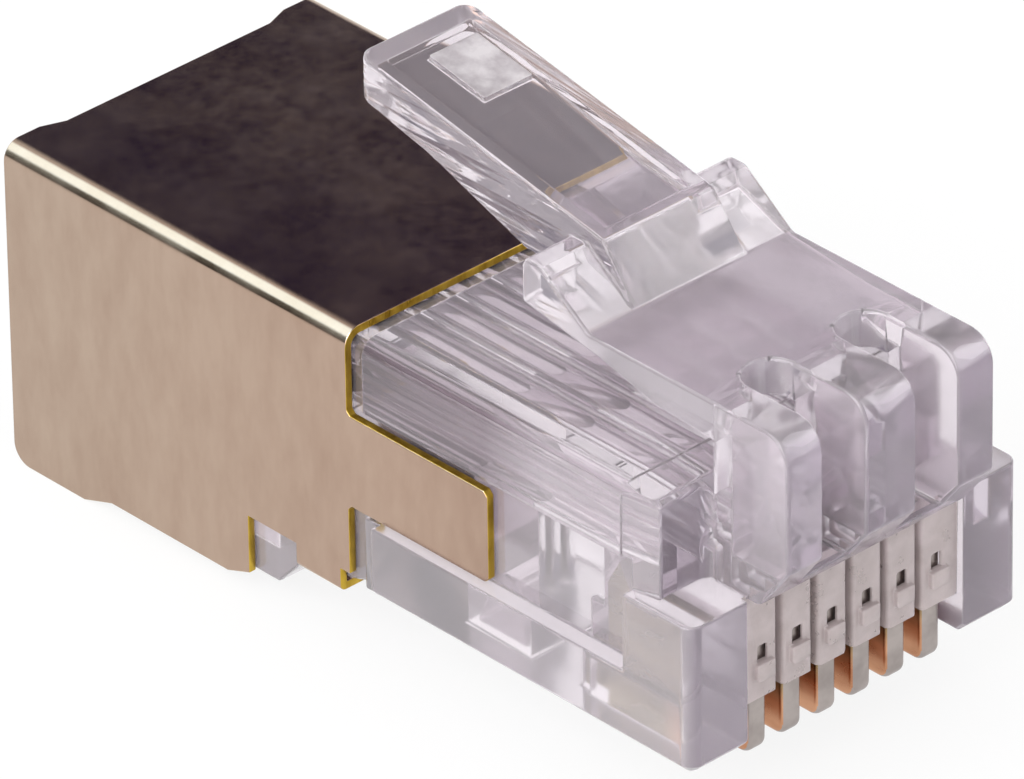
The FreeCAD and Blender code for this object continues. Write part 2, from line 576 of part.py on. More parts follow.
def build_contact(index):
    """One stamped blade with its tines up and its rounded edge down."""
    body = new_body("contact_%d" % (index + 1))
    block(body, "side", [[("blade_front", "-blade_low"), ("blade_rear", "-blade_low"),
                          ("blade_rear", "foot_low"), ("foot_rear", "foot_low"),
                          ("foot_rear", "foot_top"), ("blade_rear", "foot_top"),
                          ("blade_rear", "blade_top"), ("blade_rear - tine_base / 2", "tine_top"),
                          ("blade_rear - tine_base", "blade_top"),
                          ("blade_step + tine_base", "blade_top"),
                          ("blade_step + tine_base / 2", "tine_top"), ("blade_step", "blade_top"),
                          ("blade_step", "blade_nose"), ("blade_front", "blade_nose")]],
          "-blade / 2", "blade / 2")
    dress(body, "Fillet", "blade_round", lambda b: near(b.XLength, number("blade"))
          and flat(b.ZMin, b.ZMax, "-blade_low"))
    dress(body, "Fillet", "blade_edge", lambda b: at_side(b, "blade / 2")
          and flat(b.ZMin, b.ZMax, "-blade_low"))
    body.setExpression("Placement.Base.x", bound(contact_place(index)))
    return body


def build_bar():
    """The bar that is pushed up against the wires when the plug is crimped."""
    body = new_body("strain_relief_bar")
    block(body, "side", [[("bar_front", "bar_low"), ("bar_rear", "bar_low"),
                          ("bar_rear - bar_lean", "bar_top"),
                          ("bar_rear - bar_lean - bar_ridge", "bar_top"),
                          ("bar_front", "bar_top - bar_dip")]], "-bar_half", "bar_half")
    return body


pieces = [build_housing(), build_lever(), build_shield()]
pieces += [build_contact(i) for i in range(CONTACTS)]
pieces.append(build_bar())
doc.recompute()

for item in doc.Objects:
    if "Invalid" in item.State or "Error" in item.State:
        raise RuntimeError("%s is not valid: %s" % (item.Label, item.State))
for piece in pieces:
    if piece.Shape.isNull() or not piece.Shape.isValid() or len(piece.Shape.Solids) != 1:
        raise RuntimeError("%s has no single valid solid" % piece.Label)
os.makedirs("parts", exist_ok=True)
for piece in pieces:
    piece.Shape.exportStep("parts/%s.step" % piece.Label)
    print(piece.Label, round(piece.Shape.Volume, 3), piece.Shape.BoundBox)
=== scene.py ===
import math
import bpy
import bmesh
from mathutils import Matrix, Vector


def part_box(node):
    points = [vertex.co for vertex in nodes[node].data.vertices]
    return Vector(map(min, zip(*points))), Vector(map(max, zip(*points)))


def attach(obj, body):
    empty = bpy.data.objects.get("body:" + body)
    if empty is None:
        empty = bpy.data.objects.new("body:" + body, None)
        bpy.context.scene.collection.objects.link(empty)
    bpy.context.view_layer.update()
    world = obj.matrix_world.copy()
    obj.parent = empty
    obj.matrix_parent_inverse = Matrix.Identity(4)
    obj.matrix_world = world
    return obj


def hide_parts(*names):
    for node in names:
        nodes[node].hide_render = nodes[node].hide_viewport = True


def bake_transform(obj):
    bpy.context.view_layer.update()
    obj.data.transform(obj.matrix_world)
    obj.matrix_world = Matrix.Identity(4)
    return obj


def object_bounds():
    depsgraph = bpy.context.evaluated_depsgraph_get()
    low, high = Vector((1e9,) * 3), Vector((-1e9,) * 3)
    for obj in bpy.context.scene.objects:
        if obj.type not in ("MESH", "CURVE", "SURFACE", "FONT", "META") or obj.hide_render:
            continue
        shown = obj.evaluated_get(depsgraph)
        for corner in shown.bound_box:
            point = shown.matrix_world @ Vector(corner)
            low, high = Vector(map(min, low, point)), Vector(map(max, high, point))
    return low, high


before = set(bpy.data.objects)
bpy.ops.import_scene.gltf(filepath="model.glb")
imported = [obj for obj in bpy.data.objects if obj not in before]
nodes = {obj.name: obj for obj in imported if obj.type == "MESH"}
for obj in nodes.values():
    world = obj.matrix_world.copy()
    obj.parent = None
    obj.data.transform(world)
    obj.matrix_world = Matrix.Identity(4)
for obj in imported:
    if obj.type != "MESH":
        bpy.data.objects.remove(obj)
cadLow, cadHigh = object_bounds()
scene = bpy.context.scene
scene.view_settings.view_transform = "Standard"
mm = 0.001
print("frame loaded,", len(nodes), "nodes")


# node tree helpers

def addNode(tree, kind, settings=None, inputs=None):
    node = tree.nodes.new(kind)
    for key, value in (settings or {}).items():
        setattr(node, key, value)
    for key, value in (inputs or {}).items():
        node.inputs[key].default_value = value
    return node


def bareMaterial(name):
    material = bpy.data.materials.new(name)
    material.use_nodes = True
    tree = material.node_tree
    tree.nodes.clear()
    return material, tree, addNode(tree, "ShaderNodeOutputMaterial")


def newMaterial(name):
    material, tree, output = bareMaterial(name)
    shader = addNode(tree, "ShaderNodeBsdfPrincipled")
    tree.links.new(shader.outputs["BSDF"], output.inputs["Surface"])
    place = addNode(tree, "ShaderNodeTexCoord")
    return material, tree, shader, place.outputs["Object"]


def noise(tree, where, scale, detail, rough, stretch=None):
    if stretch:
        mapping = addNode(tree, "ShaderNodeMapping", inputs={"Scale": stretch})
        tree.links.new(where, mapping.inputs["Vector"])
        where = mapping.outputs["Vector"]
    settings = {"Scale": scale, "Detail": detail, "Roughness": rough}
    node = addNode(tree, "ShaderNodeTexNoise", inputs=settings)
    tree.links.new(where, node.inputs["Vector"])
    return node.outputs["Fac"]


def remap(tree, value, low, high, toLow, toHigh):
    node = addNode(tree, "ShaderNodeMapRange", inputs={
        "From Min": low, "From Max": high, "To Min": toLow, "To Max": toHigh})
    tree.links.new(value, node.inputs["Value"])
    return node.outputs["Result"]


def ramp(tree, value, ends, first, last):
    node = addNode(tree, "ShaderNodeValToRGB")
    for element, end, colour in zip(node.color_ramp.elements, ends, (first, last)):
        element.position = end
        element.color = (*colour, 1)
    tree.links.new(value, node.inputs["Fac"])
    return node.outputs["Color"]


def bump(tree, height, strength, depth, under=None):
    node = addNode(tree, "ShaderNodeBump", inputs={"Strength": strength, "Distance": depth})
    tree.links.new(height, node.inputs["Height"])
    if under is not None:
        tree.links.new(under, node.inputs["Normal"])
    return node.outputs["Normal"]


def blend(tree, share, first, second):
    node = addNode(tree, "ShaderNodeMixRGB")
    tree.links.new(share, node.inputs["Fac"])
    tree.links.new(first, node.inputs["Color1"])
    tree.links.new(second, node.inputs["Color2"])
    return node.outputs["Color"]


def tinted(tree, colour, share, tint):
    node = addNode(tree, "ShaderNodeMixRGB", {"blend_type": "MULTIPLY"}, {"Color2": (*tint, 1)})
    tree.links.new(share, node.inputs["Fac"])
    tree.links.new(colour, node.inputs["Color1"])
    return node.outputs["Color"]


def axis(tree, where, letter):
    node = addNode(tree, "ShaderNodeSeparateXYZ")
    tree.links.new(where, node.inputs["Vector"])
    return node.outputs[letter]


def combine(tree, operation, first, second):
    node = addNode(tree, "ShaderNodeMath", {"operation": operation})
    tree.links.new(first, node.inputs[0])
    tree.links.new(second, node.inputs[1])
    return node.outputs["Value"]


def mixShaders(tree, share, first, second):
    node = addNode(tree, "ShaderNodeMixShader")
    tree.links.new(share, node.inputs["Fac"])
    tree.links.new(first, node.inputs[1])
    tree.links.new(second, node.inputs[2])
    return node.outputs["Shader"]


# clear moulded plastic
# in the looks a noise is scale, detail, roughness and stretch, and a bump is strength and depth

clearLook = {
    "palest": (0.965, 0.90, 0.95), "deepest": (0.90, 0.835, 0.885), "colourBand": (0.3, 0.7),
    "ior": 1.57, "clear": {"body": 0.84, "lever": 0.87, "tab": 0.93},
    "rough": (0.02, 0.06), "roughBand": (0.35, 0.7),
    # the front tint is painted shade on the forward-facing faces of the mating end
    "frontShadeTint": (0.74, 0.70, 0.77), "frontTurn": (-0.9, -0.4), "frontEnds": (1.5 * mm, 2.0 * mm),
    "frontRough": 0.08, "hazeEnds": (0.4 * mm, 1.5 * mm),
    # the wall tint is painted shade on the side walls where they run into the shield
    "wallShadeTint": (0.42, 0.38, 0.40), "wallEnds": (4.0 * mm, 4.5 * mm),
    "rearEnds": (4.5 * mm, 6.5 * mm), "highEnds": (2.8 * mm, 3.2 * mm),
    "lowRough": 0.09, "lowEnds": (1.6 * mm, 2.0 * mm),
    "armRough": 0.14, "armStart": (1.2 * mm, 2.2 * mm), "armEnd": (5.2 * mm, 6.2 * mm),
    "flow": (420, 2.0, 0.5), "flowBump": (0.03, 0.1 * mm),
    "grain": (2600, 4.0, 0.6), "grainBump": (0.004, 0.02 * mm),
    "streak": (2200, 2.0, 0.5, (1, 0.06, 1)), "streakBump": (0.8, 0.2 * mm),
}


def makeClearPlastic(name, part):
    look = clearLook
    material, tree, shader, where = newMaterial(name)
    across, along, height = (axis(tree, where, letter) for letter in "XYZ")
    flow = noise(tree, where, *look["flow"])
    grain = noise(tree, where, *look["grain"])
    colour = ramp(tree, flow, look["colourBand"], look["deepest"], look["palest"])
    # painted shade: the forward-facing faces of the mating end are darkened by the front tint, and
    # that end and the low block are less glossy
    turn = axis(tree, addNode(tree, "ShaderNodeNewGeometry").outputs["Normal"], "Y")
    front = combine(tree, "MULTIPLY", remap(tree, turn, *look["frontTurn"], 1, 0),
                    remap(tree, along, *look["frontEnds"], 1, 0))
    colour = tinted(tree, colour, front, look["frontShadeTint"])
    haze = combine(tree, "ADD", remap(tree, along, *look["hazeEnds"], look["frontRough"], 0),
                   remap(tree, height, *look["lowEnds"], look["lowRough"], 0))
    normal = bump(tree, flow, *look["flowBump"])
    if part == "body":  # painted shade: the side walls are darkened towards the shield
        squares = [end * end for end in look["wallEnds"]]
        wall = remap(tree, combine(tree, "MULTIPLY", across, across), *squares, 0, 1)
        rear = combine(tree, "MULTIPLY", remap(tree, along, *look["rearEnds"], 0, 1),
                       remap(tree, height, *look["highEnds"], 0, 1))
        colour = tinted(tree, colour, combine(tree, "MULTIPLY", wall, rear), look["wallShadeTint"])
    if part == "lever":  # the springy arm is hazy
        arm = combine(tree, "MULTIPLY", remap(tree, along, *look["armStart"], 0, look["armRough"]),
                      remap(tree, along, *look["armEnd"], 1, 0))
        haze = combine(tree, "ADD", haze, arm)
    if part == "tab":  # flow lines run along the sides of the tab
        streak = noise(tree, where, *look["streak"])
        normal = bump(tree, streak, *look["streakBump"], normal)
    rough = combine(tree, "ADD", remap(tree, grain, *look["roughBand"], *look["rough"]), haze)
    tree.links.new(colour, shader.inputs["Base Color"])
    tree.links.new(rough, shader.inputs["Roughness"])
    tree.links.new(bump(tree, grain, *look["grainBump"], normal), shader.inputs["Normal"])
    shader.inputs["Transmission Weight"].default_value = look["clear"][part]
    shader.inputs["IOR"].default_value = look["ior"]
    return material


# cloudy plastic of the comb columns and the frosted pad on the tab

cloudyLook = {
    "comb": {"pale": (0.66, 0.57, 0.57), "deep": (0.54, 0.46, 0.455), "clear": 0.35,
             "rough": (0.25, 0.4)},
    "pad": {"pale": (0.78, 0.74, 0.76), "deep": (0.50, 0.455, 0.48), "clear": 0.45,
            "rough": (0.3, 0.5)},
    "cloud": (1800, 4.0, 0.6), "bump": (0.25, 0.02 * mm),
    "colourBand": (0.35, 0.65), "roughBand": (0.3, 0.7),
}


def makeCloudyPlastic(name, part):
    look = cloudyLook
    tone = look[part]
    material, tree, shader, where = newMaterial(name)
    cloud = noise(tree, where, *look["cloud"])
    colour = ramp(tree, cloud, look["colourBand"], tone["deep"], tone["pale"])
    rough = remap(tree, cloud, *look["roughBand"], *tone["rough"])
    tree.links.new(colour, shader.inputs["Base Color"])
    tree.links.new(rough, shader.inputs["Roughness"])
    tree.links.new(bump(tree, cloud, *look["bump"]), shader.inputs["Normal"])
    shader.inputs["Transmission Weight"].default_value = tone["clear"]
    shader.inputs["IOR"].default_value = clearLook["ior"]
    return material


# hidden faces where the housing and the lever meet, which light passes as in one moulding

def makeJointFilm():
    material, tree, output = bareMaterial("joint_film")
    clear = addNode(tree, "ShaderNodeBsdfTransparent")
    tree.links.new(clear.outputs["BSDF"], output.inputs["Surface"])
    return material


# plated sheet of the shield, with a painted highlight on its folds and painted shade on its inside,
# and its yellow cut edges

sheetLook = {
    "outer": {"dull": (0.415, 0.284, 0.214), "bright": (0.485, 0.349, 0.268)},
    # the inner tones are painted shade for the faces inside the shield
    "inner": {"dull": (0.26, 0.20, 0.15), "bright": (0.38, 0.30, 0.22)},
    "roll": (900, 4.0, 0.6, (1, 0.25, 0.06)), "rollBump": (0.03, 0.01 * mm),
    "mottle": (1500, 4.0, 0.6, (1, 1, 0.4)), "shadeBand": (0.75, 1.25),
    "cloud": (450, 4.0, 0.5), "rough": (0.13, 0.27), "roughBand": (0.3, 0.7),
    "grit": (3500, 5.0, 0.7), "gritBand": (0.3, 0.7), "dust": (1.0, 0.91),
    "dustEnds": (-4.5 * mm, 0.5 * mm), "dustLeast": 0.3,
    "driftTint": (1.0, 1.06, 1.07), "driftEnds": (9 * mm, 20 * mm),
    # the shine colours are a painted highlight on the folds
    "foldHighlightDull": (0.90, 0.82, 0.66), "foldHighlightBright": (0.98, 0.92, 0.78), "foldHighlightTurn": (0.36, 0.43),
}
cutLook = {
    "dark": (0.40, 0.25, 0.02), "light": (0.72, 0.50, 0.07), "colourBand": (0.35, 0.7),
    "rough": (0.25, 0.45), "roughBand": (0.3, 0.7),
    "shear": (3000, 3.0, 0.6, (1, 1, 0.3)), "bump": (0.3, 0.02 * mm),
}


def makeSheet(name, part):
    look = sheetLook
    tone = look[part]
    material, tree, shader, where = newMaterial(name)
    roll = noise(tree, where, *look["roll"])
    mottle = noise(tree, where, *look["mottle"])
    shade = remap(tree, combine(tree, "ADD", roll, mottle), *look["shadeBand"], 0, 1)
    colour = ramp(tree, shade, (0, 1), tone["dull"], tone["bright"])
    drift = remap(tree, axis(tree, where, "Y"), *look["driftEnds"], 0, 1)
    colour = tinted(tree, colour, drift, look["driftTint"])
    # painted highlight: the folds, where the sheet faces both sideways and up, are painted a bright
    # cream
    turn = addNode(tree, "ShaderNodeNewGeometry").outputs["Normal"]
    lean = combine(tree, "MULTIPLY", axis(tree, turn, "X"), axis(tree, turn, "Z"))
    squares = [end * end for end in look["foldHighlightTurn"]]
    foldHighlight = remap(tree, combine(tree, "MULTIPLY", lean, lean), *squares, 0, 1)
    foldHighlightColour = ramp(tree, shade, (0, 1), look["foldHighlightDull"], look["foldHighlightBright"])
    cloud = noise(tree, where, *look["cloud"])
    # dust, thinner towards one side
    grit = remap(tree, noise(tree, where, *look["grit"]), *look["gritBand"], 0, 1)
    spread = remap(tree, axis(tree, where, "X"), *look["dustEnds"], look["dustLeast"], 1)
    dust = remap(tree, combine(tree, "MULTIPLY", grit, spread), 0, 1, *look["dust"])
    rough = remap(tree, cloud, *look["roughBand"], *look["rough"])
    tree.links.new(blend(tree, foldHighlight, colour, foldHighlightColour), shader.inputs["Base Color"])
    tree.links.new(rough, shader.inputs["Roughness"])
    tree.links.new(dust, shader.inputs["Metallic"])
    tree.links.new(bump(tree, roll, *look["rollBump"]), shader.inputs["Normal"])
    return material


def makeCutEdge():
    look = cutLook
    material, tree, shader, where = newMaterial("shield_cut_edge")
    shear = noise(tree, where, *look["shear"])
    colour = ramp(tree, shear, look["colourBand"], look["dark"], look["light"])
    rough = remap(tree, shear, *look["roughBand"], *look["rough"])
    tree.links.new(colour, shader.inputs["Base Color"])
    tree.links.new(rough, shader.inputs["Roughness"])
    tree.links.new(bump(tree, shear, *look["bump"]), shader.inputs["Normal"])
    shader.inputs["Metallic"].default_value = 1
    return material


# stamped contacts: warm rolled faces, paler plated edges

contactLook = {
    "face": {"dull": (0.17, 0.14, 0.07), "bright": (0.32, 0.26, 0.14), "rough": (0.22, 0.36)},
    "edge": {"dull": (0.33, 0.29, 0.275), "bright": (0.45, 0.40, 0.38), "rough": (0.26, 0.42)},
    "bareDull": (0.42, 0.19, 0.10), "bareBright": (0.64, 0.34, 0.20),
    "bareEnds": (0.3 * mm, 0.9 * mm), "bareReach": (1.2 * mm, 2.0 * mm),
    "stamp": (1500, 3.0, 0.55, (1, 0.4, 1)), "bump": (0.2, 0.02 * mm),
    "colourBand": (0.35, 0.65), "roughBand": (0.3, 0.7),
}


def makeContactMetal(name, part):
    look = contactLook
    tone = look[part]
    material, tree, shader, where = newMaterial(name)
    stamp = noise(tree, where, *look["stamp"])
    colour = ramp(tree, stamp, look["colourBand"], tone["dull"], tone["bright"])
    if part == "face":  # the front of the standing part is copper coloured
        bare = ramp(tree, stamp, look["colourBand"], look["bareDull"], look["bareBright"])
        share = combine(tree, "MAXIMUM", remap(tree, axis(tree, where, "Z"), *look["bareEnds"], 0, 1),
                        remap(tree, axis(tree, where, "Y"), *look["bareReach"], 0, 1))
        colour = blend(tree, share, bare, colour)
    rough = remap(tree, stamp, *look["roughBand"], *tone["rough"])
    tree.links.new(colour, shader.inputs["Base Color"])
    tree.links.new(rough, shader.inputs["Roughness"])
    tree.links.new(bump(tree, stamp, *look["bump"]), shader.inputs["Normal"])
    shader.inputs["Metallic"].default_value = 1
    return material


clearPlastic = makeClearPlastic("clear_plastic", "body")
leverPlastic = makeClearPlastic("lever_plastic", "lever")
streakedPlastic = makeClearPlastic("streaked_plastic", "tab")
combPlastic = makeCloudyPlastic("comb_plastic", "comb")
padPlastic = makeCloudyPlastic("pad_plastic", "pad")
jointFilm = makeJointFilm()
sheetMetal = makeSheet("shield_sheet", "outer")
shadedInnerSheet = makeSheet("shield_inside_shade", "inner")
cutEdge = makeCutEdge()
contactFace = makeContactMetal("contact_face", "face")
contactEdge = makeContactMetal("contact_edge", "edge")
print("materials made")


# mesh helpers, which work in millimetres and degrees

meshFit = {"weld": 0.002, "flat": 0.5, "cut": 0.0001, "runsOn": 0.9, "roomShare": 3.5, "looks": 0.8}


def startMesh(nodeName):
    mesh = bmesh.new()
    mesh.from_mesh(nodes[nodeName].data)
    bmesh.ops.scale(mesh, vec=(1 / mm,) * 3, verts=mesh.verts)
    bmesh.ops.remove_doubles(mesh, verts=mesh.verts, dist=meshFit["weld"])
    bmesh.ops.dissolve_limit(mesh, angle_limit=math.radians(meshFit["flat"]),
                             verts=mesh.verts, edges=mesh.edges)
    return mesh


def cutAt(mesh, parts, place, normal):
    bmesh.ops.bisect_plane(mesh, geom=parts, dist=meshFit["cut"], plane_co=place, plane_no=normal)


# how far a face reaches from one of its edges
def reachFrom(edge, face):
    start = edge.verts[0].co
    along = (edge.verts[1].co - start).normalized()
    return max(((v.co - start) - along * (v.co - start).dot(along)).length for v in face.verts)


# the edges that meet an edge, their lengths, and whether they run on in its line
def neighbours(edge):
    for corner in edge.verts:
        along = (edge.other_vert(corner).co - corner.co).normalized()
        for near in corner.link_edges:
            if near is not edge:
                way = near.other_vert(corner).co - corner.co
                yield near, way.length, abs(way.normalized().dot(along)) > meshFit["runsOn"]


# the room beside an edge, which limits how soft it can be
def roomFor(edge):
    room = min(reachFrom(edge, face) for face in edge.link_faces)
    return min([room] + [length for near, length, runsOn in neighbours(edge) if not runsOn])


def markEdges(mesh, angle, width, skip=None):
    weight = mesh.edges.layers.float.get("bevel_weight_edge")
    weight = weight or mesh.edges.layers.float.new("bevel_weight_edge")
    rooms = {}
    for edge in mesh.edges:
        sharp = len(edge.link_faces) == 2 and edge.calc_face_angle(0) > math.radians(angle)
        left = sharp and skip is not None and skip(edge)
        edge.smooth = not left
        edge[weight] = 0.0
        if sharp and not left:
            rooms[edge] = roomFor(edge)
    uneven = True
    while uneven:  # an edge that runs on into another is as soft as that one
        uneven = False
        for edge in rooms:
            line = [near for near, length, runsOn in neighbours(edge) if runsOn and near in rooms]
            least = min([rooms[edge]] + [rooms[near] for near in line])
            uneven = uneven or least < rooms[edge]
            rooms[edge] = least
    for edge, room in rooms.items():
        edge[weight] = min(1.0, room / (meshFit["roomShare"] * width))


def endMesh(mesh, name, materials):
    bmesh.ops.scale(mesh, vec=(mm,) * 3, verts=mesh.verts)
    for face in mesh.faces:
        face.smooth = True
    data = bpy.data.meshes.new(name)
    mesh.to_mesh(data)
    mesh.free()
    stale = data.attributes.get("custom_normal")
    if stale:
        data.attributes.remove(stale)
    for material in materials:
        data.materials.append(material)
    piece = bpy.data.objects.new(name, data)
    scene.collection.objects.link(piece)
    return piece


def softenEdges(piece, width, segments, clamp=False):
    bevel = piece.modifiers.new("softened edges", "BEVEL")
    bevel.limit_method = "WEIGHT"
    bevel.width = width * mm
    bevel.segments = segments
    bevel.use_clamp_overlap = clamp
    level = piece.modifiers.new("level faces", "WEIGHTED_NORMAL")
    level.keep_sharp = True


# housing and lever: two pieces that meet at the root without a visible joint

leverLow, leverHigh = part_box("latch_lever")
rootPlane = leverLow.y / mm
rootLow = leverLow.z / mm
clearBody = {"edge": 0.10, "segments": 3, "angle": 25}
rootFit = {"near": 0.004, "below": 1, "bendLength": 2.2, "bendCuts": 9}
comb = {"half": 3.2, "y": (0, 0.56), "z": (0.94, 3.57), "slotEnd": 4.0, "footReach": 0.3}
pillar = {"inner": 4.3, "rear": 0.5, "footTop": 0.25}
tab = {"slope": 0.183, "padDrop": 0.09, "padNear": 0.03, "front": 6.0}
layers = {"plain": 0, "joint": 1, "comb": 2, "pad": 2, "streaked": 3}  # places in the material lists


def atRoot(face):
    return all(abs(v.co.y - rootPlane) < rootFit["near"] for v in face.verts)


def inComb(face):
    middle = face.calc_center_median()
    inside = abs(middle.x) < comb["half"] and comb["y"][0] < middle.y < comb["y"][1]
    return inside and comb["z"][0] < middle.z < comb["z"][1]


def keptSharp(edge):
    middle = (edge.verts[0].co + edge.verts[1].co) / 2
    low = abs(middle.z - comb["z"][0]) < comb["footReach"]
    combFoot = low and abs(middle.x) < comb["half"] and middle.y < comb["slotEnd"]
    inPillar = abs(middle.x) > pillar["inner"] and middle.y < pillar["rear"]
    pillarFoot = inPillar and middle.z < pillar["footTop"]  # chamfered in the solid
    joint = any(face.material_index == layers["joint"] for face in edge.link_faces)
    return combFoot or pillarFoot or joint


def leverPart(face):
    middle = face.calc_center_median()
    if atRoot(face):
        return layers["joint"]
    drop = leverHigh.z / mm + tab["slope"] * (middle.y - leverHigh.y / mm) - middle.z
    if face.normal.z > meshFit["looks"] and abs(drop - tab["padDrop"]) < tab["padNear"]:
        return layers["pad"]
    tabSide = abs(face.normal.x) > meshFit["looks"] and middle.y > tab["front"]
    return layers["streaked"] if tabSide else layers["plain"]


def makeHousing():
    mesh = startMesh("housing")
    lowest = rootLow - rootFit["below"]
    behind = [f for f in mesh.faces if atRoot(f) and f.calc_center_median().z > lowest]
    parts = set(behind)
    for face in behind:
        parts.update(face.edges)
        parts.update(face.verts)
    cutAt(mesh, list(parts), (0, 0, rootLow), (0, 0, 1))
    for face in mesh.faces:
        if atRoot(face) and face.calc_center_median().z > rootLow:
            face.material_index = layers["joint"]
    markEdges(mesh, clearBody["angle"], clearBody["edge"], keptSharp)
    for face in mesh.faces:
        if inComb(face):
            face.material_index = layers["comb"]
    piece = endMesh(mesh, "clear_housing", [clearPlastic, jointFilm, combPlastic])
    softenEdges(piece, clearBody["edge"], clearBody["segments"])
    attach(piece, "plug_body")
    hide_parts("housing")
    return piece


def makeLever():
    mesh = startMesh("latch_lever")
    for face in mesh.faces:
        face.material_index = leverPart(face)
    markEdges(mesh, clearBody["angle"], clearBody["edge"], keptSharp)
    for i in range(1, rootFit["bendCuts"]):
        place = rootPlane + rootFit["bendLength"] * i / rootFit["bendCuts"]
        cutAt(mesh, mesh.verts[:] + mesh.edges[:] + mesh.faces[:], (0, place, 0), (0, 1, 0))
    piece = endMesh(mesh, "clear_lever", [leverPlastic, jointFilm, padPlastic, streakedPlastic])
    softenEdges(piece, clearBody["edge"], clearBody["segments"])
    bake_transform(piece)
    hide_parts("latch_lever")
    return piece


def makeBar():
    mesh = startMesh("strain_relief_bar")
    markEdges(mesh, clearBody["angle"], clearBody["edge"])
    piece = endMesh(mesh, "clear_bar", [clearPlastic])
    softenEdges(piece, clearBody["edge"], clearBody["segments"])
    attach(piece, "bar")
    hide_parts("strain_relief_bar")
    return piece


makeHousing()
makeLever()
makeBar()
print("clear pieces made")


# shield: the folded sheet with bare metal where it was cut

shieldSize = {
    "edge": 0.03, "segments": 2, "angle": 40, "sheet": 0.2,
    "cutTurn": 0.6, "rimTurn": 0.5, "levelTurn": 0.2, "wallTurn": 0.2,
    "rimSheets": 1.5, "wallSheets": 2.5, "roofSheets": 3, "rimTop": 5,
}


# faces across the sheet, at its ends and along the rims of its sides
def isCut(face, half):
    size = shieldSize
    normal = face.normal
    middle = face.calc_center_median()
    if abs(normal.y) > size["cutTurn"]:
        return True
    inRim = abs(middle.x) > half - size["rimSheets"] * size["sheet"] and middle.z < size["rimTop"]
    return inRim and abs(normal.z) > size["rimTurn"] and abs(normal.x) < size["levelTurn"]


# faces that look at the housing
def isInside(face, half, top):
    size = shieldSize
    normal = face.normal
    middle = face.calc_center_median()
    inWall = abs(middle.x) > half - size["wallSheets"] * size["sheet"]
    if inWall and abs(normal.x) > size["wallTurn"] and normal.x * middle.x < 0:
        return True
    return normal.z < -size["wallTurn"] and middle.z > top - size["roofSheets"] * size["sheet"]


def makeShield():
    mesh = startMesh("shield")
    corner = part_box("shield")[1] / mm
    for face in mesh.faces:
        inside = isInside(face, corner.x, corner.z)
        # faces inside the shield take the darker inner tone as painted shade
        face.material_index = 2 if inside else 1 if isCut(face, corner.x) else 0
    markEdges(mesh, shieldSize["angle"], shieldSize["edge"])
    piece = endMesh(mesh, "folded_shield", [sheetMetal, cutEdge, shadedInnerSheet])
    softenEdges(piece, shieldSize["edge"], shieldSize["segments"])
    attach(piece, "plug_body")
    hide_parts("shield")
    return piece


makeShield()
print("shield made")


# contacts: stamped blades with soft edges

contactSize = {"edge": 0.02, "segments": 2, "angle": 40, "count": 6}


def makeContact(number):
    node = "contact_%d" % number
    mesh = startMesh(node)
    for face in mesh.faces:
        face.material_index = 0 if abs(face.normal.x) > meshFit["looks"] else 1
    markEdges(mesh, contactSize["angle"], contactSize["edge"])
    piece = endMesh(mesh, "blade_contact_%d" % number, [contactFace, contactEdge])
    softenEdges(piece, contactSize["edge"], contactSize["segments"], True)
    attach(piece, "blade_%d" % number)
    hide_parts(node)
    return piece


for number in range(1, contactSize["count"] + 1):
    makeContact(number)
print("contacts made")


# stage: pale floor, cards that the metal and the clear plastic reflect, a soft lamp, a plain world

stage = {
    "floorSize": 4.0, "floorColour": (0.86, 0.86, 0.86), "floorWhite": 0.86,
    "worldColour": (1.0, 1.0, 1.0), "worldLevel": 1.0,
    "bounces": {"max_bounces": 20, "transmission_bounces": 20, "glossy_bounces": 8},
}
cards = {
    # dark, for the top of the shield
    "roof_card": {"aim": (0.58, 0.62, 0.527), "far": 0.18, "size": (0.115, 0.10),
                  "glow": (0.03, 0.022, 0.06), "firstOnly": False},
    # dark, for the lower line of the shield's long fold
    "line_card": {"aim": (-0.754, 0.6215, 0.213), "far": 0.3, "size": (0.40, 0.143),
                  "glow": (0.03, 0.02, 0.012), "firstOnly": False},
    # grey, overhead
    "sky_card": {"aim": (0.35, 0.15, 0.90), "far": 0.25, "size": (0.34, 0.34),
                 "glow": (0.20, 0.18, 0.20), "firstOnly": False},
    # bright, for the ramp between the arm and the tab, and only in the first reflection
    "ramp_card": {"aim": (0.58, -0.50, 0.62), "far": 0.2, "size": (0.10, 0.16),
                  "glow": (2.4, 2.4, 2.4), "firstOnly": True, "lastDepth": 1.5},
}
sideLamp = {"aim": (-0.88, -0.05, 0.50), "far": 0.30, "size": (0.34, 0.34), "glow": 2.8}


def facing(aim, far):
    aim = Vector(aim).normalized()
    return Matrix.Translation(aim * far) @ aim.to_track_quat("Z", "Y").to_matrix().to_4x4()


def flatPanel(name, size, matrix, material):
    mesh = bmesh.new()
    bmesh.ops.create_grid(mesh, x_segments=1, y_segments=1, size=0.5)
    bmesh.ops.scale(mesh, vec=(size[0], size[1], 1), verts=mesh.verts)
    data = bpy.data.meshes.new(name)
    mesh.to_mesh(data)
    mesh.free()
    data.materials.append(material)
    panel = bpy.data.objects.new(name, data)
    panel.matrix_world = matrix
    scene.collection.objects.link(panel)
    return panel


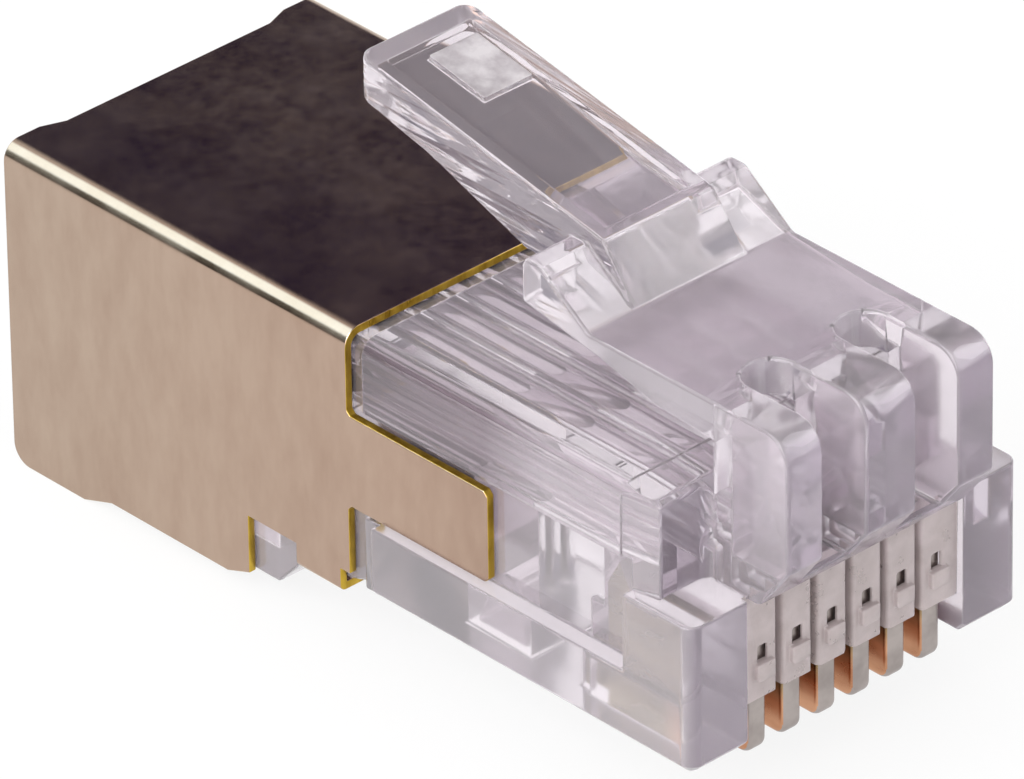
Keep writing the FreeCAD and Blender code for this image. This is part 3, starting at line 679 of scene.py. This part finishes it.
def makeFloor():
    material, tree, output = bareMaterial("pale_floor")
    paint = addNode(tree, "ShaderNodeBsdfDiffuse", inputs={"Color": (*stage["floorColour"], 1)})
    white = addNode(tree, "ShaderNodeEmission", inputs={"Strength": 1.0})
    # nearly white where it is seen, through the plastic or mirrored too, and plain paint for its light
    path = addNode(tree, "ShaderNodeLightPath").outputs
    seen = combine(tree, "MAXIMUM", path["Is Camera Ray"], path["Is Transmission Ray"])
    seen = combine(tree, "MAXIMUM", seen, path["Is Glossy Ray"])
    share = addNode(tree, "ShaderNodeMath", {"operation": "MULTIPLY"}, {1: stage["floorWhite"]})
    tree.links.new(seen, share.inputs[0])
    above = mixShaders(tree, share.outputs["Value"], paint.outputs["BSDF"], white.outputs["Emission"])
    clear = addNode(tree, "ShaderNodeBsdfTransparent")  # from below the floor is clear
    below = addNode(tree, "ShaderNodeNewGeometry").outputs["Backfacing"]
    tree.links.new(mixShaders(tree, below, above, clear.outputs["BSDF"]), output.inputs["Surface"])
    place = Matrix.Translation((0, 0, cadLow.z))
    return flatPanel("floor", (stage["floorSize"],) * 2, place, material)


def cardGlow(name, card):
    material, tree, output = bareMaterial(name)
    glow = addNode(tree, "ShaderNodeEmission", inputs={"Color": (*card["glow"], 1), "Strength": 1.0})
    surface = glow.outputs["Emission"]
    if card["firstOnly"]:
        path = addNode(tree, "ShaderNodeLightPath")
        later = addNode(tree, "ShaderNodeMath", {"operation": "GREATER_THAN"}, {1: card["lastDepth"]})
        tree.links.new(path.outputs["Ray Depth"], later.inputs[0])
        clear = addNode(tree, "ShaderNodeBsdfTransparent")
        surface = mixShaders(tree, later.outputs["Value"], surface, clear.outputs["BSDF"])
    tree.links.new(surface, output.inputs["Surface"])
    return material


def makeCard(name, card):
    panel = flatPanel(name, card["size"], facing(card["aim"], card["far"]), cardGlow(name, card))
    panel.visible_camera = False
    panel.visible_diffuse = False
    panel.visible_shadow = False
    panel.visible_transmission = not card["firstOnly"]
    return panel


def makeLamp(name, lamp):
    data = bpy.data.lights.new(name, "AREA")
    data.shape = "RECTANGLE"
    data.size, data.size_y = lamp["size"]
    data.energy = lamp["glow"] * math.pi * lamp["size"][0] * lamp["size"][1]
    light = bpy.data.objects.new(name, data)
    light.matrix_world = facing(lamp["aim"], lamp["far"])
    light.visible_camera = False
    light.visible_transmission = False
    scene.collection.objects.link(light)
    return light


def makeWorld():
    world = bpy.data.worlds.new("plain_world")
    scene.world = world
    world.use_nodes = True
    tree = world.node_tree
    tree.nodes.clear()
    output = addNode(tree, "ShaderNodeOutputWorld")
    settings = {"Color": (*stage["worldColour"], 1), "Strength": stage["worldLevel"]}
    sky = addNode(tree, "ShaderNodeBackground", inputs=settings)
    tree.links.new(sky.outputs["Background"], output.inputs["Surface"])


makeFloor()
for name, card in cards.items():
    makeCard(name, card)
makeLamp("sideLamp", sideLamp)
makeWorld()
for key, count in stage["bounces"].items():
    setattr(scene.cycles, key, count)
print("stage made")


# camera at the photograph's angle

photoView = {
    "azimuth": -42.9637, "elevation": 31.8148, "roll": 0.7815,
    "aim": (0, 9.0, 3.5), "far": 299.505, "focalPixels": 14065.4,
    "shiftPixels": (49.016, -0.634), "imageWidth": 1024,
    "sensor": 36, "nearest": 0.01,
}


def makeCamera():
    view = photoView
    azimuth, elevation, roll = (math.radians(view[k]) for k in ("azimuth", "elevation", "roll"))
    back = Vector((math.sin(azimuth) * math.cos(elevation), -math.cos(azimuth) * math.cos(elevation),
                   math.sin(elevation)))
    right = Vector((math.cos(azimuth), math.sin(azimuth), 0))
    up = back.cross(right)
    across = right * math.cos(roll) - up * math.sin(roll)
    upward = right * math.sin(roll) + up * math.cos(roll)
    data = bpy.data.cameras.new("photo_camera")
    data.sensor_width = view["sensor"]
    data.lens = view["focalPixels"] / view["imageWidth"] * view["sensor"]
    data.shift_x = -view["shiftPixels"][0] / view["imageWidth"]
    data.shift_y = view["shiftPixels"][1] / view["imageWidth"]
    data.clip_start = view["nearest"]
    camera = bpy.data.objects.new("photo_camera", data)
    turn = Matrix((across, upward, back)).transposed().to_4x4()
    camera.matrix_world = Matrix.Translation((Vector(view["aim"]) + back * view["far"]) * mm) @ turn
    scene.collection.objects.link(camera)
    scene.camera = camera


makeCamera()
print("camera placed")
